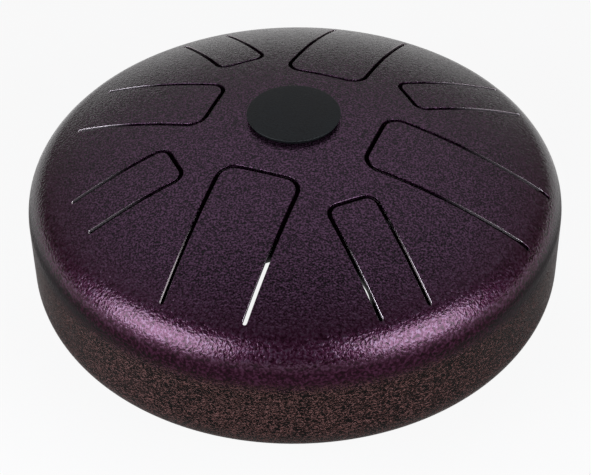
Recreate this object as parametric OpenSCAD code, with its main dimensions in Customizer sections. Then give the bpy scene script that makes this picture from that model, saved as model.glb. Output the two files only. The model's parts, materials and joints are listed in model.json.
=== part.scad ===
/* [Shell] */
// Outside diameter of the shell
shell_d = 304.8; // [280:0.1:340]
// Outside radius of the domed crown
crown_r = 304.8; // [260:0.1:380]
// Outside radius of the knuckle that turns the crown into the side wall
knuckle_r = 25.4; // [20:0.1:30]
// Height of the straight side wall of each half
flange_h = 18; // [12:0.5:26]
// Thickness of the steel sheet
sheet_t = 2; // [1.6:0.1:2.4]
// Width of the girth weld at the surface
weld_w = 4; // [3:0.1:5]
// Thickness of plain edge left under the girth weld
weld_land = 0.4; // [0.2:0.1:0.8]

/* [Tongues] */
// Direction of the first tongue, in degrees round from the right
first_angle = -111; // [-180:1:180]
// Width of a cut slot
slot_w = 2.4; // [1.6:0.1:3]
// Width of a long tongue between the middles of its slots
long_w = 46; // [40:0.5:50]
// Width of a short tongue between the middles of its slots
short_w = 28; // [24:0.5:32]
// Width of the seventh tongue, which is narrower than the other long ones
slim_w = 41; // [36:0.5:46]
// Distance from the drum's centre to the free end of a long tongue
long_inner = 48; // [42:0.5:54]
// Distance from the rim in to the free end of a short tongue
rim_to_short_end = 81.1; // [72:0.1:92]
// Corner radius of a long tongue's slot, at the middle of the slot
long_corner_r = 9; // [6:0.5:12]
// Corner radius of a short tongue's slot, at the middle of the slot
short_corner_r = 6; // [4:0.5:9]
// Distance from the rim in to the root of tongue 1
rim_to_root_1 = 18.7; // [14:0.1:30]
// Distance from the rim in to the root of tongue 2
rim_to_root_2 = 15.5; // [12:0.1:30]
// Distance from the rim in to the root of tongue 3
rim_to_root_3 = 10.4; // [9:0.1:30]
// Distance from the rim in to the root of tongue 4
rim_to_root_4 = 14.5; // [12:0.1:30]
// Distance from the rim in to the root of tongue 5
rim_to_root_5 = 20; // [14:0.1:32]
// Distance from the rim in to the root of tongue 6
rim_to_root_6 = 22; // [14:0.1:32]
// Distance from the rim in to the root of tongue 7
rim_to_root_7 = 28.1; // [14:0.1:34]
// Distance from the rim in to the root of tongue 8
rim_to_root_8 = 25.8; // [14:0.1:34]
// Gap across the root of a tongue, where it bends
root_gap = 0.1; // [0.08:0.01:0.2]

/* [Centre plug] */
// Diameter of the plug's head
plug_d = 52.4; // [46:0.1:60]
// Height of the head's edge over its flat underside
plug_edge_h = 2.8; // [2.4:0.1:5]
// Radius that rounds the head's edge above and below
plug_edge_r = 1.3; // [0.6:0.1:1.3]
// Extra height of the head's middle over its edge
plug_rise = 1.5; // [0.6:0.1:2]
// Diameter of the hole in the crown
plug_hole_d = 38; // [30:0.5:42]
// Depth of the plug below the sheet
plug_depth = 7; // [5:0.5:10]
// How far the plug's lip reaches out under the sheet
plug_lip = 2; // [1:0.1:3]
// Height of the lip's straight edge
plug_lip_h = 1; // [0.6:0.1:2]
// Thickness of the plug's hollow neck
plug_wall = 4; // [3:0.1:6]

/* [Sound port] */
// Diameter of the hole in the underside
port_d = 97.6; // [88:0.1:106]
// Thickness of the rubber trim over the sheet
trim_wall = 1.5; // [1:0.1:2.5]
// How far the trim's rounded nose stands out past the trim's own walls
trim_bulge = 0.7; // [0.3:0.1:1.2]
// How far the middle of the nose lies inside the port's edge
trim_set = 0.6; // [0.2:0.1:1.2]
// How far the trim reaches over the sheet
trim_cover = 7; // [5:0.5:9]

/* [Feet] */
// Distance of the feet from the drum's centre line
foot_circle_r = 85; // [78:0.5:95]
// Diameter of a foot at the shell
foot_top_d = 25; // [20:0.5:28]
// Diameter of a foot at the floor
foot_sole_d = 21; // [17:0.5:24]
// Length of a foot along its screw
foot_h = 16; // [13:0.5:20]
// Rubber left between the shell and the foot's washer
foot_web = 6; // [4.5:0.1:7]

/* [Fasteners] */
// Diameter of the foot screws
screw_d = 4; // [3:0.1:5]
// Length of the foot screws under the head
screw_len = 16; // [15:0.5:18]
// Diameter of the screw heads
head_d = 8; // [7.5:0.1:9]
// Height of the screw heads
head_h = 3; // [2.4:0.1:3.4]
// Height of a screw head's straight side
head_side_h = 1.2; // [0.8:0.1:1.6]
// Width of the cross recess in a screw head
drive_w = 1; // [0.8:0.1:1.4]
// Length of the cross recess in a screw head
drive_len = 4.4; // [3.6:0.1:5]
// Depth of the cross recess in a screw head
drive_depth = 1.4; // [1:0.1:1.6]
// Diameter of the washers
washer_d = 9; // [8:0.1:10]
// Thickness of the washers
washer_t = 0.8; // [0.6:0.1:1]
// Width of a nut across its flats
nut_af = 7; // [6.5:0.1:8]
// Height of a nut with its locking collar
nut_h = 5; // [4:0.1:5.4]
// Height of a nut's locking collar
nut_collar_h = 1.6; // [1:0.1:2]
// Play of a screw in a nut
thread_play = 0.02; // [0.01:0.01:0.05]
// Play of a screw in a hole, a washer or a foot
screw_play = 0.2; // [0.1:0.05:0.4]
// Play of a washer or a screw head in the foot's recess
recess_play = 0.5; // [0.3:0.1:0.8]
// Gap between the shell and what is screwed to it
seat_play = 0.01; // [0.01:0.01:0.05]

/* [Hidden] */
$fn = 180;
// Facets of an arc whose centre is far away
fine_fn = 720;

shell_color = "#4a2a42";
tongue_color = "#553049";
rubber_color = "#2c2c2f";
steel_color = "#b4b8bc";

// Outside radius of the shell
shell_r = shell_d / 2;
// Overrun of every cut past the solid that it cuts
overrun = sheet_t;
// Half angle of the crown, where it meets the knuckle
crown_angle = asin((shell_r - knuckle_r) / (crown_r - knuckle_r));
// Depth of the crown's centre below the top of the straight wall
crown_drop = (crown_r - knuckle_r) * cos(crown_angle);
// Height of the crown's top over the straight wall
apex_h = crown_r - crown_drop;
// Inside radius of the domed crown
under_r = crown_r - sheet_t;
// Lean of a foot and its screw, square to the crown
foot_lean = asin(foot_circle_r / crown_r);
// Height of the weld's middle over the floor
weld_z = (crown_r + foot_h) * cos(foot_lean) - crown_drop + flange_h;
// Depth of the weld groove
groove_depth = sheet_t - weld_land;
// Height of a washer's seat on the concave inside of the shell, which it touches with its rim
inner_seat = sheet_t + under_r - sqrt(under_r * under_r - washer_d * washer_d / 4);

tongue_count = 8;
tongue_step = 360 / tongue_count;
foot_count = 4;
foot_step = 360 / foot_count;

// Whether tongue i, from 1, is a long one
function is_long(i) = i % 2 == 1;
// Width of tongue i between the middles of its slots
function tongue_w(i) = i == 7 ? slim_w : is_long(i) ? long_w : short_w;
// Distance from the centre to the middle of tongue i's cross slot
function tongue_inner(i) = is_long(i) ? long_inner : shell_r - rim_to_short_end;
function tongue_corner(i) = is_long(i) ? long_corner_r : short_corner_r;
rim_to_root = [rim_to_root_1, rim_to_root_2, rim_to_root_3, rim_to_root_4,
               rim_to_root_5, rim_to_root_6, rim_to_root_7, rim_to_root_8];
// Distance from the centre to the root of tongue i
function tongue_root(i) = shell_r - rim_to_root[i - 1];
function tongue_angle(i) = first_angle + (i - 1) * tongue_step;
// Direction of foot i, between the tongues' directions
function foot_angle(i) = (i - 0.5) * foot_step;

// The upper half is drawn from the top of its straight wall, up
module upper() {
    translate([0, 0, weld_z]) translate([0, 0, flange_h]) children();
}

// The lower half is the same, upside down
module lower() {
    translate([0, 0, weld_z]) mirror([0, 0, 1]) translate([0, 0, flange_h]) children();
}

// Moves to the crown's centre, in a coarse and a fine step that keep the crown tangent to the knuckle
module at_crown() {
    coarse = round(crown_drop);
    translate([0, 0, -coarse]) translate([0, 0, coarse - crown_drop]) children();
}

// The same in a half section, whose Y is up
module at_crown_section() {
    coarse = round(crown_drop);
    translate([0, -coarse]) translate([0, coarse - crown_drop]) children();
}

module ring(r_out, r_in) {
    difference() {
        circle(r = r_out);
        circle(r = r_in);
    }
}

// Height of the crown's surface of radius dome_r, at a distance from the axis
function crown_at(dome_r, distance) = sqrt(dome_r * dome_r - distance * distance) - crown_drop;

// Radius of a shallow dome that rises by rise over half_w
function dome_radius(half_w, rise) = (half_w * half_w + rise * rise) / (2 * rise);

// Half section of one domed head's sheet, from the top of its straight wall, with a hole at its crown
module head_section(hole_r) {
    knuckle = [shell_r - knuckle_r, 0];
    reach = knuckle_r + overrun;
    tangent = knuckle + [reach * sin(crown_angle), reach * cos(crown_angle)];
    top = apex_h + overrun;
    side = shell_r + overrun;
    inside = shell_r - sheet_t;
    difference() {
        union() {
            intersection() {
                at_crown_section() ring(crown_r, under_r);
                polygon([[hole_r, 0], knuckle, tangent, [tangent[0], top], [hole_r, top]]);
            }
            intersection() {
                translate(knuckle) ring(knuckle_r, knuckle_r - sheet_t);
                polygon([knuckle, tangent, [side, tangent[1]], [side, 0]]);
            }
            polygon([[inside, -flange_h], [shell_r, -flange_h], [shell_r, 0], [inside, 0]]);
            // A block inside the sheet that keeps the two arcs one piece where they meet
            translate(knuckle) rotate(90 - crown_angle)
                translate([knuckle_r - sheet_t / 2, 0]) square(sheet_t / 2, center = true);
        }
        groove_section();
    }
}

// Half section of the weld groove, a triangle that opens outwards
module groove_section() {
    half_w = weld_w / 2;
    polygon([[shell_r - groove_depth, -flange_h], [shell_r, -flange_h - half_w], [shell_r, half_w - flange_h]]);
}

module head(hole_r) {
    rotate_extrude() head_section(hole_r);
}

// Plan of a rounded strip along +X, from its free end to its root, half_w to each side
module strip(from_x, to_x, half_w, corner_r) {
    translate([from_x + corner_r, -half_w]) square([to_x - from_x - corner_r, half_w + half_w]);
    translate([from_x, -half_w + corner_r])
        square([corner_r + corner_r, half_w + half_w - corner_r - corner_r]);
    for (side = [-1, 1])
        translate([from_x + corner_r, side * (half_w - corner_r)]) circle(r = corner_r);
}

module tongue_plan(i) {
    half_slot = slot_w / 2;
    strip(tongue_inner(i) + half_slot, tongue_root(i), tongue_w(i) / 2 - half_slot,
          tongue_corner(i) - half_slot);
}

// The tongue with the slots round it, which end in a half circle each
module window_plan(i) {
    half_slot = slot_w / 2;
    end_x = tongue_root(i) + root_gap;
    strip(tongue_inner(i) - half_slot, end_x, tongue_w(i) / 2 + half_slot, tongue_corner(i) + half_slot);
    for (side = [-1, 1])
        translate([end_x, side * tongue_w(i) / 2]) circle(r = half_slot);
}

// From the top of the straight wall up past the crown
module over_tongue(i) {
    rotate([0, 0, tongue_angle(i)]) linear_extrude(apex_h + overrun) children();
}

module upper_shell() {
    color(shell_color) upper() difference() {
        head(plug_hole_d / 2);
        for (i = [1:tongue_count]) over_tongue(i) window_plan(i);
    }
}

module tongue(i) {
    color(tongue_color) upper() intersection() {
        head(plug_hole_d / 2);
        over_tongue(i) tongue_plan(i);
    }
}

module lower_shell() {
    color(shell_color) lower() difference() {
        head(port_d / 2);
        for (i = [1:foot_count]) at_foot(i)
            translate([0, 0, -sheet_t - overrun])
                cylinder(h = sheet_t + overrun + overrun, r = screw_d / 2 + screw_play);
    }
}

module girth_weld() {
    color(shell_color) upper() rotate_extrude() groove_section();
}

// Half section of the plug's head, from its underside up: rounded edge and low dome
module plug_head_section() {
    head_r = plug_d / 2;
    top_r = head_r - plug_edge_r;
    dome_r = dome_radius(top_r, plug_rise);
    square([top_r, plug_edge_h]);
    translate([0, plug_edge_r]) square([head_r, plug_edge_h - plug_edge_r - plug_edge_r]);
    for (y = [plug_edge_r, plug_edge_h - plug_edge_r]) translate([top_r, y]) circle(r = plug_edge_r);
    intersection() {
        square([top_r, plug_edge_h + plug_rise]);
        translate([0, plug_edge_h + plug_rise - dome_r]) circle(r = dome_r, $fn = fine_fn);
    }
}

// Push-in rubber plug: its flat head rests on the hole's edge, its hollow neck fills the hole,
// and its barb grips the sheet from below
module centre_plug() {
    hole_r = plug_hole_d / 2;
    lip_r = hole_r + plug_lip;
    head_y = crown_at(crown_r, hole_r);
    lip_y = crown_at(under_r, lip_r);
    end_y = lip_y - plug_depth;
    color(rubber_color) upper() rotate_extrude() difference() {
        union() {
            translate([0, head_y]) plug_head_section();
            translate([0, lip_y]) square([hole_r, head_y + plug_edge_r - lip_y]);
            intersection() {
                polygon([[0, end_y], [hole_r - plug_lip, end_y], [lip_r, lip_y - plug_lip_h],
                         [lip_r, lip_y + sheet_t], [0, lip_y + sheet_t]]);
                at_crown_section() circle(r = under_r);
            }
        }
        translate([0, end_y - overrun]) square([hole_r - plug_wall, plug_depth + overrun]);
    }
}

// Rubber edging pressed over the port's edge: two walls along the sheet and a rounded nose
module port_trim() {
    port_r = port_d / 2;
    nose_x = port_r - trim_set;
    nose_y = crown_at(crown_r - sheet_t / 2, nose_x);
    color(rubber_color) lower() rotate_extrude() difference() {
        union() {
            translate([nose_x, nose_y]) circle(r = sheet_t / 2 + trim_wall + trim_bulge);
            intersection() {
                at_crown_section() ring(crown_r + trim_wall, under_r - trim_wall);
                translate([nose_x, 0]) square([trim_set + trim_cover, apex_h + trim_wall]);
            }
        }
        intersection() {
            at_crown_section() ring(crown_r, under_r);
            translate([port_r, 0]) square([trim_cover + overrun, apex_h]);
        }
    }
}

// Puts a thing on the outer face of the lower half at foot i, with +Z out of the shell
module at_foot(i) {
    rotate([0, 0, foot_angle(i)]) at_crown() rotate([0, foot_lean, 0]) translate([0, 0, crown_r]) children();
}

// Half section of a foot round its screw: it tapers, and runs on past the floor
module foot_section() {
    taper_share = (foot_top_d - foot_sole_d) / 2 / foot_h;
    end_y = foot_h + foot_sole_d / 2;
    bore_r = screw_d / 2 + screw_play;
    recess_r = washer_d / 2 + recess_play;
    difference() {
        polygon([[bore_r, -overrun], [foot_top_d / 2 + overrun * taper_share, -overrun],
                 [foot_top_d / 2 - end_y * taper_share, end_y], [recess_r, end_y],
                 [recess_r, foot_web], [bore_r, foot_web]]);
        translate([0, -crown_r]) circle(r = crown_r + seat_play, $fn = fine_fn);
    }
}

// The foot leans with the shell, and its sole is cut level with the floor
module foot(i) {
    reach = foot_circle_r + foot_top_d;
    color(rubber_color) lower() difference() {
        at_foot(i) rotate_extrude() foot_section();
        translate([0, 0, weld_z - flange_h]) cylinder(h = foot_top_d, r = reach + foot_h);
    }
}

module washer() {
    difference() {
        cylinder(h = washer_t, r = washer_d / 2);
        translate([0, 0, -overrun]) cylinder(h = washer_t + overrun + overrun, r = screw_d / 2 + screw_play);
    }
}

module foot_recess_washers() {
    color(steel_color) lower() for (i = [1:foot_count]) at_foot(i)
        translate([0, 0, foot_web]) washer();
}

// Pan-head screw with a cross recess, its head's seat at height 0
module screw() {
    dome_r = dome_radius(head_d / 2, head_h - head_side_h);
    difference() {
        rotate_extrude() {
            translate([0, -screw_len]) square([screw_d / 2, screw_len + head_h / 2]);
            intersection() {
                square([head_d / 2, head_h]);
                translate([0, head_h - dome_r]) circle(r = dome_r, $fn = fine_fn);
            }
        }
        for (turn = [0, 90]) rotate([0, 0, turn])
            translate([-drive_len / 2, -drive_w / 2, head_h - drive_depth]) cube([drive_len, drive_w, head_h]);
    }
}

module foot_screws() {
    color(steel_color) lower() for (i = [1:foot_count]) at_foot(i)
        translate([0, 0, foot_web + washer_t]) screw();
}

module foot_inner_washers() {
    color(steel_color) lower() for (i = [1:foot_count]) at_foot(i)
        translate([0, 0, -inner_seat - washer_t]) washer();
}

// Hexagon nut with a round locking collar on its far side
module nut() {
    difference() {
        union() {
            translate([0, 0, nut_collar_h]) cylinder(h = nut_h - nut_collar_h, r = nut_af / sqrt(3), $fn = 6);
            cylinder(h = nut_h - nut_collar_h / 2, r = nut_af / 2 - screw_play);
        }
        translate([0, 0, -overrun]) cylinder(h = nut_h + overrun + overrun, r = screw_d / 2 + thread_play);
    }
}

module foot_nuts() {
    color(steel_color) lower() for (i = [1:foot_count]) at_foot(i)
        translate([0, 0, -inner_seat - washer_t - nut_h]) nut();
}

upper_shell();
lower_shell();
girth_weld();
tongue(1);  // tongue_1
tongue(2);  // tongue_2
tongue(3);  // tongue_3
tongue(4);  // tongue_4
tongue(5);  // tongue_5
tongue(6);  // tongue_6
tongue(7);  // tongue_7
tongue(8);  // tongue_8
centre_plug();
port_trim();
foot(1);  // foot_1
foot(2);  // foot_2
foot(3);  // foot_3
foot(4);  // foot_4
foot_recess_washers();
foot_screws();
foot_inner_washers();
foot_nuts();
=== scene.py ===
"""Finish, fine forms and studio of a steel tongue drum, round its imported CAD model, in metres."""

import json
import math

import bmesh
import bpy
import numpy as np
from mathutils import Matrix, Vector
from mathutils.geometry import delaunay_2d_cdt
from mathutils.kdtree import KDTree


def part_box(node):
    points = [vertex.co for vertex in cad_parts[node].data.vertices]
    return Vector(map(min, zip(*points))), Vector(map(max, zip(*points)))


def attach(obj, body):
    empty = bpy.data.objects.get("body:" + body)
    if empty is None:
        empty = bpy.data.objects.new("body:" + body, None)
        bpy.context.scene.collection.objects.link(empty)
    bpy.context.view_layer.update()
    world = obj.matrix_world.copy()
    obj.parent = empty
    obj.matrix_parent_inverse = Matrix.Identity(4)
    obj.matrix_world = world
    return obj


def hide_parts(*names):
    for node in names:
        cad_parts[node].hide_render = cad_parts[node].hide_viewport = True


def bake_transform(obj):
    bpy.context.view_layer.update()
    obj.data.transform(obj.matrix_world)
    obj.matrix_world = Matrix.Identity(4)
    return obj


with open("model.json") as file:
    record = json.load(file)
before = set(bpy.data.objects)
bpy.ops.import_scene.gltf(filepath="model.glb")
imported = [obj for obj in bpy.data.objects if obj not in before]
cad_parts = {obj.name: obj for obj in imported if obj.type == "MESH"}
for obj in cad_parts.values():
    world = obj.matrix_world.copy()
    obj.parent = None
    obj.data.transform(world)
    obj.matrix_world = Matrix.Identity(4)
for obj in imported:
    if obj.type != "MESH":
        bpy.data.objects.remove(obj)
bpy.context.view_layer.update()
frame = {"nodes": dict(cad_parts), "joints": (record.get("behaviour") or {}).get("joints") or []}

MM = 0.001

# The two heads
crown_r = 304.8 * MM
knuckle_r = 25.4 * MM
flange_h = 18 * MM
sheet_t = 2 * MM
shell_low, shell_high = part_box("upper_shell")
shell_r = shell_high.x
weld_z = shell_low.z
knuckle_x = shell_r - knuckle_r
crown_angle = math.asin(knuckle_x / (crown_r - knuckle_r))
crown_drop = (crown_r - knuckle_r) * math.cos(crown_angle)
plug_hole_r = 19 * MM
port_r = 48.8 * MM

# The cut tongues
slot_w = 2.4 * MM
root_gap = 0.1 * MM
long_corner_r = 7.8 * MM
short_corner_r = 4.8 * MM
tongue_count = 8

# The rounded edges of the cuts under their paint
edge_r = 0.3 * MM
edge_steps = 3

# The spacing of the points that the sheet is modelled with
grid_step = 3 * MM
grid_clear = grid_step * 0.6
cut_step = 2.2 * MM
arc_step = 0.9 * MM
least_arc_steps = 4
least_ring_points = 6
merge_distance = 1e-9
columns = 288
plug_hole_columns = columns // 3
screw_hole_columns = columns // 12
join_r = 147 * MM
knuckle_rows = 14
wall_rows = 8
turned_columns = 160

# The plug's head and its hollow neck
plug_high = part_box("centre_plug")[1]
plug_edge_h = 2.8 * MM
plug_edge_r = 0.5 * MM
plug_undercut = 32
plug_lip = 2 * MM
plug_lip_h = 1 * MM
plug_lip_chamfer = 0.3 * MM
plug_depth = 7 * MM
plug_wall = 4 * MM
plug_dome_steps = 24
plug_edge_steps = 8
plug_crease = 40

# How far the rubbers stay clear of the sheet
rubber_gap = 0.02 * MM
trim_seat_gap = 0.01 * MM

# The port's rubber edging
trim_wall = 1.5 * MM
trim_bulge = 0.7 * MM
trim_set = 0.6 * MM
trim_nose_end = 2 * MM
trim_cover = 7 * MM
trim_lip_r = 0.6 * MM
trim_lip_share = 0.55
trim_nose_half = 120
trim_nose_steps = 32
trim_steps = 12
trim_crease = 50

# The feet and their screws
foot_count = 4
foot_circle_r = 85 * MM
foot_top_r = 12.5 * MM
foot_sole_r = 10.5 * MM
foot_h = 16 * MM
foot_web = 6 * MM
foot_round = 1.2 * MM
foot_round_steps = 3
foot_recess_r = 5 * MM
foot_bore_r = 2.2 * MM
screw_hole_r = 2.45 * MM
foot_lean = math.asin(foot_circle_r / crown_r)
foot_seat_steps = 10
foot_rows = 12
foot_rows_below = 5
foot_crease = 50
level_tolerance = 1e-7
rim_angle = 0.6
hardware = ("foot_recess_washers", "foot_screws", "foot_inner_washers", "foot_nuts")

# The paint's zones: heights over the weld, or under it, between which one turns into the next
shoulder_h = (34 * MM, 52 * MM)
# Painted shade: a dark band below the shoulder, which also darkens the whole underside
shade_band_h = (22 * MM, 33 * MM)
upper_side_h = (7 * MM, 18 * MM)
lower_side_h = (36 * MM, 43 * MM)

# The paint's grain: specks on the crown, ripples round the shoulder and worm-like ridges on the side
paint_detail = 1.0
speck_scale = 1000
ripple_scale = 620
ripple_distortion = 0.4
worm_scale = 450
worm_distortion = 0.5
worm_middle = 0.5
worm_w = 0.12
side_flow = 2.2
grain_depth = 0.42 * MM
crown_speck_share = 0.5
shoulder_speck_share = 0.2
ripple_share = 0.65
side_grain = 0.85

# Its shades, from the pits to the tops of the grain
speck_range = (0.36, 0.64)
ripple_range = (0.34, 0.66)
crown_colours = [
    (0, (0.004, 0.001, 0.003)),
    (0.45, (0.047, 0.014, 0.040)),
    (1, (0.152, 0.069, 0.137)),
]
# Redder and of softer contrast than the crown where the lamps' highlights fall: the ripple grain's tone
# with a painted highlight tint
shoulder_grain_and_highlight_colours = [
    (0, (0.027, 0.004, 0.015)),
    (0.5, (0.077, 0.016, 0.049)),
    (1, (0.116, 0.060, 0.104)),
]
# Painted shade, dark red-purple: the band below the shoulder and the underside
shade_band_colours = [
    (0, (0.008, 0.001, 0.004)),
    (0.5, (0.022, 0.003, 0.012)),
    (1, (0.050, 0.014, 0.034)),
]
# Darker and browner than the crown: the worm grain's tone, and a painted dark reflection
side_grain_and_shade_colours = [
    (0, (0.002, 0.001, 0.001)),
    (0.5, (0.016, 0.005, 0.0045)),
    (1, (0.170, 0.084, 0.079)),
]

# Its gloss
paint_metallic = 0.9
edge_tint = (0.15, 0.13, 0.12)
crown_roughness = 0.31
side_roughness = 0.34
crown_coat = 0.66
# Less coat in the band of painted shade
shade_band_coat = 0.08
side_coat = 0.1
coat_roughness = 0.15

# The pale cut edges, partly thin paint and partly a painted glint placed where the lamps glint on them:
# their least height, the rise of their normals and how far out they are
cut_h = 39.2 * MM
cut_facing = (0.62, 0.8)
thin_paint_glint_r = (92 * MM, 118 * MM)
glint_cut_colour = (0.95, 0.85, 0.9)
cut_roughness = 0.22

# Each rubber's colour as it shows, the scale of its grain and its roughness
rubber_looks = {
    "plug_rubber": ((13, 17, 18), 1100, 0.5),
    "trim_rubber": ((16, 16, 17), 1300, 0.6),
    "foot_rubber": ((19, 19, 20), 1200, 0.66),
}
rubber_grain_depth = 0.25 * MM
rubber_cloud_size = 30
rubber_cloud_share = 0.4
rubber_dark = 0.3
rubber_pale = 2
rubber_range = (0.38, 0.62)
rubber_sheen_change = 0.06
rubber_specular = 0.35

# The zinc-plated screws, nuts and washers
zinc_cloud_scale = 300
zinc_cloud_range = (0.35, 0.7)
zinc_shown = ((150, 152, 156), (196, 197, 196))
zinc_roughness = (0.28, 0.45)
zinc_grain_scale = 4000
zinc_grain_depth = 0.01 * MM
zinc_grain_strength = 0.4

# The soft clouds of both
cloud_detail = 3
cloud_roughness = 0.6
cloud_range = (0.3, 0.7)


def head_at(r, depth):
    """Height over the straight wall, and tilt from the drum's axis, of the face at a depth."""
    crown, knuckle = crown_r - depth, knuckle_r - depth
    on_crown = r <= crown * math.sin(crown_angle)
    tilt = np.arcsin(np.clip(np.where(on_crown, r / crown, (r - knuckle_x) / knuckle), 0, 1))
    height = np.where(on_crown, crown * np.cos(tilt) - crown_drop, knuckle * np.cos(tilt))
    return height, tilt


class Sheet:
    """Points with their own normals, and the faces between them."""

    def __init__(self):
        self.points, self.normals, self.faces, self.flat = [], [], [], []

    def add(self, points, normals):
        start = len(self.points)
        self.points.extend(map(tuple, points))
        self.normals.extend(map(tuple, normals))
        return list(range(start, len(self.points)))

    def add_plan(self, plan, side, depth, sink=0, lean=0, away=None):
        """Adds points over a plan on one head's face.

        Sink moves them into the sheet, and lean turns their normals towards away.
        """
        r = np.linalg.norm(plan, axis=1)
        height, tilt = head_at(r, depth)
        into = -1 if depth else 1
        radial = plan / r[:, None]
        z = weld_z + side * (flange_h + height - into * sink)
        normals = into * np.column_stack([radial * np.sin(tilt)[:, None], side * np.cos(tilt)])
        if away is not None:
            flat_away = np.column_stack([away, np.zeros(len(away))])
            normals = math.cos(lean) * normals + math.sin(lean) * flat_away
            normals /= np.linalg.norm(normals, axis=1)[:, None]
        return self.add(np.column_stack([plan, z]), normals)

    def strip(self, rows, closed):
        """Joins rows of as many points each with four-sided faces."""
        for a, b in zip(rows, rows[1:]):
            for k in range(len(a) if closed else len(a) - 1):
                n = (k + 1) % len(a)
                self.faces.append((a[k], a[n], b[n], b[k]))

    def cap(self, loop):
        """Closes a cross section with one flat face."""
        self.flat.append(len(self.faces))
        self.faces.append(tuple(loop))

    def finish(self, name, material):
        mesh = bpy.data.meshes.new(name)
        mesh.from_pydata(self.points, [], self.faces)
        work = bmesh.new()
        work.from_mesh(mesh)
        bmesh.ops.recalc_face_normals(work, faces=work.faces)
        work.to_mesh(mesh)
        work.free()
        mesh.shade_smooth()
        corners = np.zeros(len(mesh.loops), int)
        mesh.loops.foreach_get("vertex_index", corners)
        normals = np.array(self.normals)[corners]
        for k in self.flat:
            face = mesh.polygons[k]
            normals[list(face.loop_indices)] = face.normal
        mesh.normals_split_custom_set(normals.tolist())
        return add_piece(name, mesh, material)


def add_piece(name, mesh, material):
    mesh.materials.append(material)
    piece = bpy.data.objects.new(name, mesh)
    bpy.context.scene.collection.objects.link(piece)
    return piece


def run_line(start, end, away, step):
    """Points along a straight cut, its end left out, and their normals into the cut."""
    start, end = np.array(start), np.array(end)
    n = max(1, round(float(np.linalg.norm(end - start)) / step))
    points = start + (end - start) * (np.arange(n) / n)[:, None]
    return points, np.tile(away, (n, 1)).astype(float)


def run_arc(centre, radius, from_deg, to_deg, step, inward):
    """Points along a round cut, its end left out. The normals point at the centre if inward is true."""
    n = max(least_arc_steps, round(abs(math.radians(to_deg - from_deg)) * radius / step))
    angles = np.radians(from_deg + (to_deg - from_deg) * np.arange(n) / n)
    ray = np.column_stack([np.cos(angles), np.sin(angles)])
    return np.array(centre) + radius * ray, -ray if inward else ray


def join_runs(runs, last, last_away):
    """One open cut from its runs and its last point."""
    points = np.concatenate([r[0] for r in runs] + [np.array([last])])
    away = np.concatenate([r[1] for r in runs] + [np.array([last_away], float)])
    return points, away


class Tongue:
    """The plan of one tongue and of the window round it, read from its joint and its CAD node."""

    def __init__(self, number):
        self.name = f"tongue_{number}"
        joint = next(j for j in frame["joints"] if j["child"] == self.name)
        self.root = Vector(joint["pos_m"])
        self.out = np.array([-joint["axis"][1], joint["axis"][0]])
        self.across = np.array([-self.out[1], self.out[0]])
        node = frame["nodes"][self.name].data
        flat = np.array([v.co[:2] for v in node.vertices])
        self.half_w = float(np.abs(flat @ self.across).max())
        self.inner = float((flat @ self.out).min())
        self.seam = float((flat @ self.out).max()) + root_gap
        self.corner = long_corner_r if number % 2 else short_corner_r

    def place(self, points):
        return points[:, :1] * self.out + points[:, 1:] * self.across

    def outline(self, grow, ends):
        """A cut round the tongue, grow outside its edge, with half-round slot ends if asked."""
        half, inner, corner = self.half_w + grow, self.inner - grow, self.corner + grow
        inward = grow > 0
        turn = -1 if inward else 1
        left = (inner + corner, half - corner)
        right = (inner + corner, corner - half)
        runs = [
            run_line((self.seam, half), (left[0], half), (0, turn), cut_step),
            run_arc(left, corner, 90, 180, arc_step, inward),
            run_line((inner, left[1]), (inner, right[1]), (-turn, 0), cut_step),
            run_arc(right, corner, 180, 270, arc_step, inward),
            run_line((right[0], -half), (self.seam, -half), (0, -turn), cut_step),
        ]
        if ends:
            middle = self.half_w + slot_w / 2
            runs.insert(0, run_arc((self.seam, middle), slot_w / 2, -90, 90, arc_step / 2, True))
            runs.append(run_arc((self.seam, -middle), slot_w / 2, -90, 90, arc_step / 2, True))
        points, away = join_runs(runs, (self.seam, -self.half_w), (0, -1))
        return self.place(points), self.place(away)

    def seam_points(self):
        """The points across the root between the two cuts' rounded edges, from right to left."""
        half = self.half_w - edge_r
        n = math.ceil(2 * half / grid_step)
        y = np.linspace(-half, half, n + 1)[1:-1]
        return self.place(np.column_stack([np.full(len(y), self.seam), y]))


def inside(points, loop):
    """Whether each point lies inside a closed outline."""
    x, y = points[:, :1], points[:, 1:]
    x0, y0 = loop.T
    x1, y1 = np.roll(loop, -1, axis=0).T
    crosses = (y0 > y) != (y1 > y)
    rise = np.where(y1 == y0, 1, y1 - y0)
    return (crosses & (x < x0 + (y - y0) * (x1 - x0) / rise)).sum(1) % 2 == 1


def plan_grid(out_r, step):
    """Staggered rings of points over a disc."""
    rings = []
    count = round(out_r / step)
    for k in range(1, count):
        r = out_r * k / count
        n = max(least_ring_points, round(2 * math.pi * r / step))
        angles = 2 * math.pi * (np.arange(n) + (k % 2) / 2) / n
        rings.append(r * np.column_stack([np.cos(angles), np.sin(angles)]))
    return np.concatenate(rings)


def clear_of(points, outlines, distance):
    """The points that lie at least distance from every outline's points."""
    marks = np.concatenate(outlines)
    tree = KDTree(len(marks))
    for k, mark in enumerate(marks):
        tree.insert((mark[0], mark[1], 0), k)
    tree.balance()
    keep = [tree.find((p[0], p[1], 0))[2] > distance for p in points]
    return points[np.array(keep)]


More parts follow.
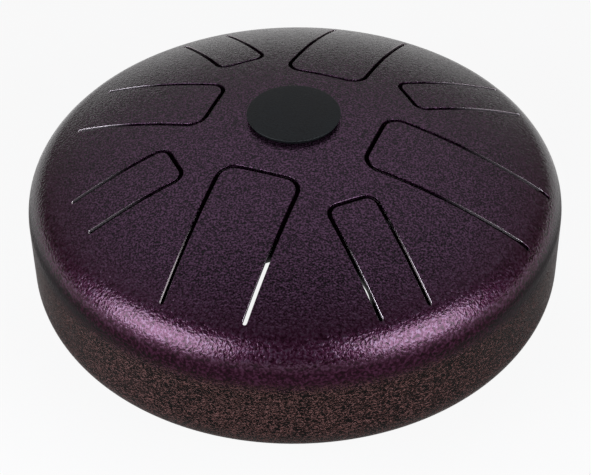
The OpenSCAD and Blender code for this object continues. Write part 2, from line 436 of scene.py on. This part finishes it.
def triangulate(loops, loose):
    """Fills the first outline but for the others. Returns points, the loose ones last, and triangles."""
    far_corners = 2 * shell_r * np.array([(-1, -1), (1, -1), (1, 1), (-1, 1)])
    points = np.concatenate([*loops, loose, far_corners])
    edges, start = [], 0
    for loop in loops:
        n = len(loop)
        edges += [(start + k, start + (k + 1) % n) for k in range(n)]
        start += n
    places = [Vector(p) for p in points]
    _, _, faces, origins, _, _ = delaunay_2d_cdt(places, edges, [], 0, merge_distance)
    number = [min(o) for o in origins]
    triangles = np.array([[number[k] for k in face] for face in faces])
    centres = points[triangles].mean(axis=1)
    keep = inside(centres, loops[0])
    for hole in loops[1:]:
        keep &= ~inside(centres, hole)
    return points[:-len(far_corners)], triangles[keep]


def ring(r, n):
    angles = 2 * math.pi * np.arange(n) / n
    return r * np.column_stack([np.cos(angles), np.sin(angles)])


def round_hole(centre, r, n):
    """A round cut as a closed outline, and its normals into the cut."""
    ray = ring(1, n)
    return np.array(centre) + r * ray, -ray


def cut_edge(sheet, wall, away, outer_row, inner_row, side, closed):
    """Rounds a cut's edges, and joins the outer face to the inner one down its wall. Returns the rows."""
    turns = [math.pi / 2 * k / edge_steps for k in range(1, edge_steps + 1)]

    def rounded(depth):
        rows = []
        for turn in turns:
            plan = wall - away * edge_r * (1 - math.sin(turn))
            sink = edge_r * (1 - math.cos(turn))
            rows.append(sheet.add_plan(plan, side, depth, sink, turn, away))
        return rows

    rows = [outer_row, *rounded(0), *reversed(rounded(sheet_t)), inner_row]
    sheet.strip(rows, closed)
    return rows


def face_pair(sheet, loops, loose, side):
    """Both faces of a flat pattern bent onto a head. Returns each outline's rows on the two."""
    plan, triangles = triangulate(loops, loose)
    rows = []
    for depth in (0, sheet_t):
        index = np.array(sheet.add_plan(plan, side, depth))
        sheet.faces.extend(map(tuple, index[triangles]))
        ends = np.cumsum([len(loop) for loop in loops])
        rows.append([index[end - len(loop):end].tolist() for loop, end in zip(loops, ends)])
    return list(zip(*rows))


def seam_cap(sheet, edge_rows, outer_seam, inner_seam):
    """Closes the sheet across a root: down a cut's wall, along the inner face, up the other and back."""
    down = [row[0] for row in edge_rows]
    up = [row[-1] for row in reversed(edge_rows)]
    sheet.cap([*down, *reversed(inner_seam), *up, *outer_seam])


def girth_rows(sheet, depth):
    """Rows from the upper join over the knuckle, down the wall and back under to the lower join."""
    _, start = head_at(np.array([join_r]), depth)
    tilts = np.linspace(start[0], math.pi / 2, knuckle_rows + 1)
    section = []
    for tilt in tilts[1:]:
        r = knuckle_x + (knuckle_r - depth) * math.sin(tilt)
        section.append((r, flange_h + (knuckle_r - depth) * math.cos(tilt), tilt))
    wall_h = [flange_h * (1 - 2 * k / wall_rows) for k in range(1, wall_rows)]
    wall = [(shell_r - depth, h, math.pi / 2) for h in wall_h]
    lower = [(r, -h, math.pi - tilt) for r, h, tilt in reversed(section)]
    into = -1 if depth else 1
    rows = []
    for r, h, tilt in section + wall + lower:
        plan = ring(1, columns)
        points = np.column_stack([r * plan, np.full(columns, weld_z + h)])
        normals = into * np.column_stack([math.sin(tilt) * plan, np.full(columns, math.cos(tilt))])
        rows.append(sheet.add(points, normals))
    return rows


def screw_centres():
    """Plan centres of the screw holes in the lower head, half way through the sheet."""
    r = (crown_r - sheet_t / 2) * math.sin(foot_lean)
    turns = [2 * math.pi * (k + 0.5) / foot_count for k in range(foot_count)]
    return [(r * math.cos(a), r * math.sin(a)) for a in turns]


def make_shell(tongues, grid, paint):
    """Both heads and the ground-flush weld between them, as one painted skin with thickness."""
    sheet = Sheet()
    edge = ring(join_r, columns)
    joins = []
    for side in (1, -1):
        if side > 0:
            holes = [round_hole((0, 0), plug_hole_r, plug_hole_columns)]
            windows = [t.outline(slot_w, True) for t in tongues]
        else:
            holes = [round_hole((0, 0), port_r, columns)]
            holes += [round_hole(c, screw_hole_r, screw_hole_columns) for c in screw_centres()]
            windows = []
        round_loops = [wall - away * edge_r for wall, away in holes]
        window_loops = [np.concatenate([wall - away * edge_r, t.seam_points()])
                        for (wall, away), t in zip(windows, tongues)]
        loops = [edge, *round_loops, *window_loops]
        free = clear_of(grid, loops, grid_clear)
        for hole in loops[1:]:
            free = free[~inside(free, hole)]
        rows = face_pair(sheet, loops, free, side)
        joins.append(rows[0])
        for (wall, away), (outer, inner) in zip(holes, rows[1:]):
            cut_edge(sheet, wall, away, outer, inner, side, True)
        for (wall, away), (outer, inner) in zip(windows, rows[1 + len(holes):]):
            n = len(wall)
            edge_rows = cut_edge(sheet, wall, away, outer[:n], inner[:n], side, False)
            seam_cap(sheet, edge_rows, outer[n:], inner[n:])
    for face, depth in enumerate((0, sheet_t)):
        sheet.strip([joins[0][face], *girth_rows(sheet, depth), joins[1][face]], True)
    piece = sheet.finish("shell_skin", paint)
    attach(piece, "shell")
    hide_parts("upper_shell", "lower_shell", "girth_weld")


def make_tongue(tongue, grid, paint):
    """One tongue up to its root, where it bends out of the shell's sheet."""
    sheet = Sheet()
    wall, away = tongue.outline(0, False)
    loop = np.concatenate([wall - away * edge_r, tongue.seam_points()])
    free = clear_of(grid, [loop], grid_clear)
    ((outer, inner),) = face_pair(sheet, [loop], free[inside(free, loop)], 1)
    n = len(wall)
    edge_rows = cut_edge(sheet, wall, away, outer[:n], inner[:n], 1, False)
    seam_cap(sheet, edge_rows, outer[n:], inner[n:])
    piece = sheet.finish(f"{tongue.name}_skin", paint)
    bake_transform(piece)
    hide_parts(tongue.name)


def arc_points(centre, radius, from_deg, to_deg, n):
    """Points of a section's arc, both ends in."""
    angles = [math.radians(from_deg + (to_deg - from_deg) * k / n) for k in range(n + 1)]
    return [(centre[0] + radius * math.cos(a), centre[1] + radius * math.sin(a)) for a in angles]


def turned_mesh(name, section, on_axis):
    """Turns a half section round Z. Where on_axis is true its first and last points lie on the axis."""
    work = bmesh.new()
    rows = []
    for r, z in section:
        turn = [2 * math.pi * k / turned_columns for k in range(turned_columns)]
        if r == 0:
            rows.append([work.verts.new((0, 0, z))] * turned_columns)
        else:
            rows.append([work.verts.new((r * math.cos(a), r * math.sin(a), z)) for a in turn])
    pairs = list(zip(rows, rows[1:]))
    if not on_axis:
        pairs.append((rows[-1], rows[0]))
    for a, b in pairs:
        for k in range(turned_columns):
            n = (k + 1) % turned_columns
            corners = dict.fromkeys([a[k], a[n], b[n], b[k]])
            work.faces.new(list(corners))
    bmesh.ops.recalc_face_normals(work, faces=work.faces)
    mesh = bpy.data.meshes.new(name)
    work.to_mesh(mesh)
    work.free()
    return mesh


def smooth_but_edges(mesh, degrees):
    mesh.shade_smooth()
    mesh.set_sharp_from_angle(angle=math.radians(degrees))


def make_plug(material):
    """The push-in plug: a bare, softly domed button on a hollow barbed neck."""
    head_r, top_z = plug_high.x, plug_high.z
    hole_h, _ = head_at(np.array([plug_hole_r]), 0)
    under_z = weld_z + flange_h + float(hole_h[0])
    lip_r = plug_hole_r + plug_lip
    lip_h, _ = head_at(np.array([lip_r]), sheet_t)
    lip_z = weld_z + flange_h + float(lip_h[0])
    end_z = lip_z - plug_depth
    rise = top_z - under_z - plug_edge_h
    half = head_r - plug_edge_r
    dome_r = (half * half + rise * rise) / (2 * rise)
    stations = [half * k / plug_dome_steps for k in range(plug_dome_steps + 1)]
    dome = [(x, top_z - dome_r + math.sqrt(dome_r ** 2 - x ** 2)) for x in stations]
    edge_z = dome[-1][1] - plug_edge_r
    edge = arc_points((half, edge_z), plug_edge_r, 90, -plug_undercut, plug_edge_steps)[1:]
    wall_r, wall_z = edge[-1]
    under_r = wall_r - (wall_z - under_z) * math.tan(math.radians(plug_undercut))
    under = [(under_r, under_z), (plug_hole_r, under_z)]
    neck = [
        (plug_hole_r, lip_z),
        (lip_r - plug_lip_chamfer, lip_z),
        (lip_r, lip_z - plug_lip_chamfer),
        (lip_r, lip_z - plug_lip_h),
        (plug_hole_r - plug_lip, end_z),
        (plug_hole_r - plug_wall, end_z),
        (plug_hole_r - plug_wall, lip_z),
        (0, lip_z),
    ]
    mesh = turned_mesh("centre_plug_skin", dome + edge + under + neck, True)
    smooth_but_edges(mesh, plug_crease)
    piece = add_piece("centre_plug_skin", mesh, material)
    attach(piece, "shell")
    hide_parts("centre_plug")


def make_trim(material):
    """The edging pushed over the port's edge: a round nose and two walls that taper to soft lips."""
    def face_z(r, depth):
        height, _ = head_at(np.array([r]), depth)
        return weld_z - flange_h - float(height[0])

    nose_x = port_r - trim_set
    nose_z = face_z(nose_x, sheet_t / 2)
    nose_r = sheet_t / 2 + trim_wall + trim_bulge
    start_x = port_r + trim_nose_end
    end_x = nose_x + trim_set + trim_cover
    run = end_x - trim_lip_r - start_x
    stations = [start_x + run * k / trim_steps for k in range(trim_steps + 1)]
    lip_h = trim_wall * trim_lip_share
    edge_x = port_r - rubber_gap

    def wall(depth, lift):
        return [(x, face_z(x, depth) + lift) for x in stations]

    below = wall(0, -trim_wall)
    above = wall(sheet_t, trim_wall)
    lip_low = [(end_x, face_z(end_x, 0) - lip_h), (end_x, face_z(end_x, 0) - rubber_gap)]
    lip_high = [(end_x, face_z(end_x, sheet_t) + rubber_gap), (end_x, face_z(end_x, sheet_t) + lip_h)]
    seat_low = wall(0, -trim_seat_gap)
    seat_high = wall(sheet_t, trim_seat_gap)
    gap = [(edge_x, face_z(port_r, 0)), (edge_x, face_z(port_r, sheet_t))]
    nose_turn = (180 - trim_nose_half, 180 + trim_nose_half)
    nose = arc_points((nose_x, nose_z), nose_r, *nose_turn, trim_nose_steps)
    low = below + lip_low + seat_low[::-1]
    high = seat_high + lip_high + above[::-1]
    section = low + gap + high + nose
    mesh = turned_mesh("port_trim_skin", section, False)
    smooth_but_edges(mesh, trim_crease)
    piece = add_piece("port_trim_skin", mesh, material)
    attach(piece, "shell")
    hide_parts("port_trim")


def foot_section():
    """A foot round its screw, from its seat on the shell, crown_r from the crown's centre, outwards."""
    top_r = foot_top_r - foot_round / 2
    side_z = crown_r + foot_round / 2
    rows = foot_rows + foot_rows_below

    def seat(r):
        return (r, math.sqrt(crown_r ** 2 - r ** 2) + rubber_gap)

    def side(k):
        share = k / foot_rows
        return (foot_top_r + (foot_sole_r - foot_top_r) * share, side_z + foot_h * share)

    seat_w = top_r - foot_bore_r
    top = [seat(foot_bore_r + seat_w * k / foot_seat_steps) for k in range(foot_seat_steps + 1)]
    sides = [side(k) for k in range(rows)]
    far = crown_r + foot_h * rows / foot_rows
    web = crown_r + foot_web
    inner = [(foot_recess_r, far), (foot_recess_r, web), (foot_bore_r, web)]
    return top + sides + inner


def make_foot(number, material):
    """One screwed-on rubber foot, square to the shell, with its sole cut level and its edges rounded."""
    name = f"foot_{number}_skin"
    mesh = turned_mesh(name, foot_section(), False)
    turn = 2 * math.pi * (number - 0.5) / foot_count
    centre = Matrix.Translation((0, 0, weld_z - flange_h + crown_drop))
    mesh.transform(centre @ Matrix.Rotation(turn, 4, "Z") @ Matrix.Rotation(math.pi - foot_lean, 4, "Y"))
    work = bmesh.new()
    work.from_mesh(mesh)
    bmesh.ops.bisect_plane(work, geom=[*work.verts, *work.edges, *work.faces], plane_co=(0, 0, 0),
                           plane_no=(0, 0, -1), clear_outer=True)
    open_edges = [e for e in work.edges if e.is_boundary]
    bmesh.ops.bridge_loops(work, edges=open_edges)
    level = [e for e in work.edges if max(abs(v.co.z) for v in e.verts) < level_tolerance]
    rims = [e for e in level if e.calc_face_angle(0) > rim_angle]
    bmesh.ops.bevel(work, geom=rims, offset=foot_round / 2, segments=foot_round_steps, profile=0.5,
                    affect="EDGES")
    bmesh.ops.recalc_face_normals(work, faces=work.faces)
    work.to_mesh(mesh)
    work.free()
    smooth_but_edges(mesh, foot_crease)
    piece = add_piece(name, mesh, material)
    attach(piece, "shell")
    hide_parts(f"foot_{number}")


class Nodes:
    """Short calls for a material's node tree."""

    def __init__(self, tree):
        self.tree = tree
        tree.nodes.clear()

    def new(self, kind, values=None, **settings):
        node = self.tree.nodes.new(kind)
        for key, value in settings.items():
            setattr(node, key, value)
        for key, value in (values or {}).items():
            if isinstance(value, bpy.types.NodeSocket):
                self.tree.links.new(value, node.inputs[key])
            else:
                node.inputs[key].default_value = value
        return node

    def math(self, operation, a, b=0.0, c=0.0):
        return self.new("ShaderNodeMath", {0: a, 1: b, 2: c}, operation=operation).outputs[0]

    def remap(self, value, low, high, to_low, to_high, smooth=False):
        node = self.new("ShaderNodeMapRange", {"Value": value, "From Min": low, "From Max": high,
                                               "To Min": to_low, "To Max": to_high})
        if smooth:
            node.interpolation_type = "SMOOTHSTEP"
        return node.outputs["Result"]

    def ramp(self, value, stops):
        node = self.new("ShaderNodeValToRGB", {"Fac": value})
        elements = node.color_ramp.elements
        while len(elements) < len(stops):
            elements.new(0.5)
        for element, (place, colour) in zip(elements, stops):
            element.position = place
            element.color = (*colour, 1)
        return node.outputs["Color"]

    def mix(self, share, a, b):
        node = self.new("ShaderNodeMix", {"Factor": share}, data_type="RGBA")
        for name, value in (("A", a), ("B", b)):
            socket = next(s for s in node.inputs if s.name == name and s.type == "RGBA")
            if isinstance(value, bpy.types.NodeSocket):
                self.tree.links.new(value, socket)
            else:
                socket.default_value = (*value, 1)
        return next(s for s in node.outputs if s.type == "RGBA")

    def noise(self, vector, scale, detail=2.0, roughness=0.5, distortion=0.0):
        node = self.new("ShaderNodeTexNoise", {"Vector": vector, "Scale": scale, "Detail": detail,
                                               "Roughness": roughness, "Distortion": distortion})
        return node.outputs["Fac"]


def srgb(r, g, b):
    """A colour given as it shows, 0 to 255, in the renderer's own scale."""
    def linear(c):
        c /= 255
        return c / 12.92 if c <= 0.04045 else ((c + 0.055) / 1.055) ** 2.4
    return linear(r), linear(g), linear(b)


def new_material(name):
    material = bpy.data.materials.new(name)
    material.use_nodes = True
    return material, Nodes(material.node_tree)


def finish_material(nodes, shader):
    nodes.new("ShaderNodeOutputMaterial", {"Surface": shader.outputs[0]})


def thin_paint_and_glint_on_cuts(n, place, above):
    """Where the paint is pale: on the upper head's cut edges, which face sideways, from some way out.
    Partly thin paint, partly a painted glint placed where the lamps glint on them.
    """
    normal = n.new("ShaderNodeNewGeometry").outputs["Normal"]
    facing = n.math("ABSOLUTE", n.new("ShaderNodeSeparateXYZ", {0: normal}).outputs["Z"])
    flat = n.new("ShaderNodeVectorMath", {0: place, 1: (1, 1, 0)}, operation="MULTIPLY").outputs[0]
    out = n.new("ShaderNodeVectorMath", {0: flat}, operation="LENGTH").outputs["Value"]
    on_cut = n.remap(facing, *cut_facing, 1, 0, smooth=True)
    far_out = n.remap(out, *thin_paint_glint_r, 0, 1, smooth=True)
    on_top = n.math("GREATER_THAN", above, cut_h)
    return n.math("MULTIPLY", on_cut, n.math("MULTIPLY", far_out, on_top))


def hammered_paint():
    """Metallic powder coat with a hammered grain, in zones that run into each other.

    Purple with fine specks on the crown; ripples on the shoulder, in a redder, softer shade that is
    partly a painted highlight tint; a dark band of painted shade under that, which also darkens the
    underside; and worm-like ridges on the side, in a darker brown that is partly a painted dark
    reflection. Pale on the cut edges far out: thin paint, and a painted glint where the lamps glint.
    """
    material, n = new_material("hammered_paint")
    place = n.new("ShaderNodeTexCoord").outputs["Object"]
    height = n.new("ShaderNodeSeparateXYZ", {0: place}).outputs["Z"]
    above = n.math("SUBTRACT", height, weld_z)
    below = n.math("MULTIPLY", above, -1.0)
    shoulder = n.remap(above, *shoulder_h, 1, 0, smooth=True)
    # Painted shade below the shoulder and underneath
    shade_band = n.remap(above, *shade_band_h, 1, 0, smooth=True)
    upper_side = n.remap(above, *upper_side_h, 1, 0, smooth=True)
    lower_side = n.remap(below, *lower_side_h, 1, 0, smooth=True)
    side = n.math("MINIMUM", upper_side, lower_side)
    # Pale cut edges far out: thin paint, and a painted glint where the lamps glint on them
    cut = thin_paint_and_glint_on_cuts(n, place, above)

    flow = n.new("ShaderNodeMapping", {"Vector": place, "Scale": (1, 1, side_flow)}).outputs[0]
    specks = n.noise(place, speck_scale, paint_detail)
    ripples = n.noise(place, ripple_scale, paint_detail, distortion=ripple_distortion)
    field = n.noise(flow, worm_scale, paint_detail, distortion=worm_distortion)
    off_middle = n.math("ABSOLUTE", n.math("SUBTRACT", field, worm_middle))
    worms = n.remap(off_middle, 0, worm_w, 1, 0)
    speck_share = n.remap(shoulder, 0, 1, crown_speck_share, shoulder_speck_share)
    head_grain = n.math("MULTIPLY_ADD", ripples, ripple_share, n.math("MULTIPLY", specks, speck_share))
    worm_grain = n.math("MULTIPLY", worms, side_grain)
    off_side = n.math("SUBTRACT", 1.0, side)
    grain = n.math("ADD", n.math("MULTIPLY", worm_grain, side), n.math("MULTIPLY", head_grain, off_side))
    strength = n.math("SUBTRACT", 1.0, cut)
    bump = n.new("ShaderNodeBump", {"Strength": strength, "Distance": grain_depth, "Height": grain})

    ripple_tone = n.remap(ripples, *ripple_range, 0, 1)
    crown_shade = n.ramp(n.remap(specks, *speck_range, 0, 1), crown_colours)
    # The shoulder's redder, softer shade is partly a painted highlight tint
    top_shade = n.mix(shoulder, crown_shade, n.ramp(ripple_tone, shoulder_grain_and_highlight_colours))
    # Painted shade: the dark band below the shoulder and the underside
    head_shade = n.mix(shade_band, top_shade, n.ramp(ripple_tone, shade_band_colours))
    # The side's darker brown is partly a painted dark reflection
    painted = n.mix(side, head_shade, n.ramp(worms, side_grain_and_shade_colours))
    # The pale cut edges are partly thin paint and partly a painted glint
    colour = n.mix(cut, painted, glint_cut_colour)
    thick_roughness = n.remap(side, 0, 1, crown_roughness, side_roughness)
    roughness = n.remap(cut, 0, 1, thick_roughness, cut_roughness)
    coat = n.remap(side, 0, 1, n.remap(shade_band, 0, 1, crown_coat, shade_band_coat), side_coat)
    shader = n.new("ShaderNodeBsdfPrincipled", {
        "Base Color": colour, "Metallic": paint_metallic, "Roughness": roughness,
        "Specular Tint": (*edge_tint, 1), "Coat Weight": coat, "Coat Roughness": coat_roughness,
        "Normal": bump.outputs[0], "Coat Normal": bump.outputs[0],
    })
    finish_material(n, shader)
    return material


def rubber(name):
    """Satin moulded rubber with a fine grain, cloudy sheen and a little dust."""
    shown, grain_scale, roughness = rubber_looks[name]
    colour = srgb(*shown)
    material, n = new_material(name)
    place = n.new("ShaderNodeTexCoord").outputs["Object"]
    grain = n.noise(place, grain_scale, 1)
    clouds = n.noise(place, grain_scale / rubber_cloud_size, cloud_detail, cloud_roughness)
    bump = n.new("ShaderNodeBump", {"Strength": 1.0, "Distance": rubber_grain_depth, "Height": grain})
    dark = tuple(c * rubber_dark for c in colour)
    pale = tuple(c * rubber_pale for c in colour)
    grain_part = n.math("MULTIPLY", grain, 1 - rubber_cloud_share)
    mottle = n.math("MULTIPLY_ADD", clouds, rubber_cloud_share, grain_part)
    base = n.mix(n.remap(mottle, *rubber_range, 0, 1), dark, pale)
    change = rubber_sheen_change
    rough = n.remap(clouds, *cloud_range, roughness - change, roughness + change)
    shader = n.new("ShaderNodeBsdfPrincipled", {
        "Base Color": base, "Roughness": rough, "Specular IOR Level": rubber_specular,
        "Normal": bump.outputs[0],
    })
    finish_material(n, shader)
    return material


def zinc_steel():
    """Bright zinc plate with faint tarnish clouds and fine scratches."""
    material, n = new_material("zinc_steel")
    place = n.new("ShaderNodeTexCoord").outputs["Object"]
    clouds = n.noise(place, zinc_cloud_scale, cloud_detail, cloud_roughness)
    tarnished, bright = (srgb(*shown) for shown in zinc_shown)
    base = n.mix(n.remap(clouds, *zinc_cloud_range, 0, 1), tarnished, bright)
    rough = n.remap(clouds, *cloud_range, *zinc_roughness)
    scratches = n.noise(place, zinc_grain_scale)
    bump = n.new("ShaderNodeBump", {"Strength": zinc_grain_strength, "Distance": zinc_grain_depth,
                                    "Height": scratches})
    shader = n.new("ShaderNodeBsdfPrincipled", {
        "Base Color": base, "Metallic": 1.0, "Roughness": rough, "Normal": bump.outputs[0],
    })
    finish_material(n, shader)
    return material


# The camera stands where the photograph's did
camera_elevation = math.radians(40.35)
camera_distance = 1022.8 * MM
camera_aim = 62.4 * MM
camera_roll = math.radians(-0.813)
camera_lens = 105.9
sensor_w = 36


def make_camera():
    data = bpy.data.cameras.new("camera")
    data.lens = camera_lens
    data.sensor_width = sensor_w
    camera = bpy.data.objects.new("camera", data)
    bpy.context.scene.collection.objects.link(camera)
    back = Vector((0, -math.cos(camera_elevation), math.sin(camera_elevation)))
    place = Vector((0, 0, camera_aim)) + back * camera_distance
    tilt = Matrix.Rotation(math.pi / 2 - camera_elevation, 4, "X")
    camera.matrix_world = Matrix.Translation(place) @ tilt @ Matrix.Rotation(camera_roll, 4, "Z")
    bpy.context.scene.camera = camera


# The floor: pale, and so large that its far edge is out of the photograph's view
floor_r = 12.0
floor_dark = (0.86, 0.86, 0.86)
floor_pale = (0.9, 0.9, 0.9)
floor_grain_scale = 60
floor_roughness = 0.9
floor_white_share = 0.9

# The softboxes in front to the sides: azimuth from straight behind the drum, to the right, and width
softboxes = {"softbox_left": (-128, 0.85), "softbox_right": (134, 0.76)}
lamp_elevation = 22
lamp_distance = 1.1
lamp_height = 0.7
lamp_radiance = 5.0
lamp_colour = (0.94, 0.99, 1.07)
lamp_aim = 80 * MM

# The dim room: its colours from the horizon to overhead, beside the drum and in front of it
room_colours = [
    (0, (0.10, 0.09, 0.075)),
    (0.35, (0.44, 0.44, 0.44)),
    (0.7, (0.48, 0.47, 0.52)),
    (1, (0.46, 0.45, 0.50)),
]
beside_colour = (0.11, 0.09, 0.08)
beside_x = (0.4, 0.85)
beside_share = 0.9
front_colour = (0.06, 0.042, 0.04)
back_y = (-0.15, 0.32)


def make_softbox(name, azimuth, width):
    """A softbox that faces the drum."""
    data = bpy.data.lights.new(name, "AREA")
    data.shape = "RECTANGLE"
    data.size = width
    data.size_y = lamp_height
    data.energy = lamp_radiance * math.pi * width * lamp_height
    data.color = lamp_colour
    lamp = bpy.data.objects.new(name, data)
    bpy.context.scene.collection.objects.link(lamp)
    a, e = math.radians(azimuth), math.radians(lamp_elevation)
    ray = Vector((math.sin(a) * math.cos(e), math.cos(a) * math.cos(e), math.sin(e)))
    lamp.location = Vector((0, 0, lamp_aim)) + ray * lamp_distance
    lamp.rotation_mode = "QUATERNION"
    lamp.rotation_quaternion = ray.to_track_quat("Z", "Y")


def make_world():
    """A dim grey room: palest behind the drum, dimmer at the sides, darkest towards the camera."""
    world = bpy.data.worlds.new("room")
    bpy.context.scene.world = world
    world.use_nodes = True
    n = Nodes(world.node_tree)
    split = n.new("ShaderNodeSeparateXYZ", {0: n.new("ShaderNodeTexCoord").outputs["Generated"]})
    rise = n.ramp(split.outputs["Z"], room_colours)
    beside = n.remap(n.math("ABSOLUTE", split.outputs["X"]), *beside_x, 0, beside_share, smooth=True)
    back = n.remap(split.outputs["Y"], *back_y, 0, 1, smooth=True)
    colour = n.mix(back, front_colour, n.mix(beside, rise, beside_colour))
    room = n.new("ShaderNodeBackground", {"Color": colour})
    n.new("ShaderNodeOutputWorld", {"Surface": room.outputs[0]})


def make_floor():
    """A pale floor, white to the camera and in gloss, which keeps the drum's shadow."""
    material, n = new_material("pale_floor")
    place = n.new("ShaderNodeTexCoord").outputs["Object"]
    base = n.mix(n.noise(place, floor_grain_scale), floor_dark, floor_pale)
    card = n.new("ShaderNodeBsdfPrincipled", {"Base Color": base, "Roughness": floor_roughness})
    glow = n.new("ShaderNodeEmission", {"Color": (1, 1, 1, 1), "Strength": 1.0})
    path = n.new("ShaderNodeLightPath")
    seen = n.math("MAXIMUM", path.outputs["Is Camera Ray"], path.outputs["Is Glossy Ray"])
    seen = n.math("MAXIMUM", seen, path.outputs["Is Transmission Ray"])
    share = n.math("MULTIPLY", seen, floor_white_share)
    mixed = n.new("ShaderNodeMixShader", {0: share, 1: card.outputs[0], 2: glow.outputs[0]})
    n.new("ShaderNodeOutputMaterial", {"Surface": mixed.outputs[0]})
    mesh = bpy.data.meshes.new("floor")
    rim = [(floor_r * x, floor_r * y, 0) for x, y in ring(1, columns)]
    mesh.from_pydata(rim, [], [tuple(range(columns))])
    add_piece("floor", mesh, material)


make_camera()
make_world()
for name, (azimuth, width) in softboxes.items():
    make_softbox(name, azimuth, width)
make_floor()

paint = hammered_paint()
grid = plan_grid(join_r, grid_step)
tongues = [Tongue(number) for number in range(1, tongue_count + 1)]
make_shell(tongues, grid, paint)
for tongue in tongues:
    make_tongue(tongue, grid, paint)
make_plug(rubber("plug_rubber"))
make_trim(rubber("trim_rubber"))
foot_rubber = rubber("foot_rubber")
for number in range(1, foot_count + 1):
    make_foot(number, foot_rubber)
zinc = zinc_steel()
for name in hardware:
    frame["nodes"][name].material_slots[0].material = zinc

scene = bpy.context.scene
scene.view_settings.view_transform = "Standard"
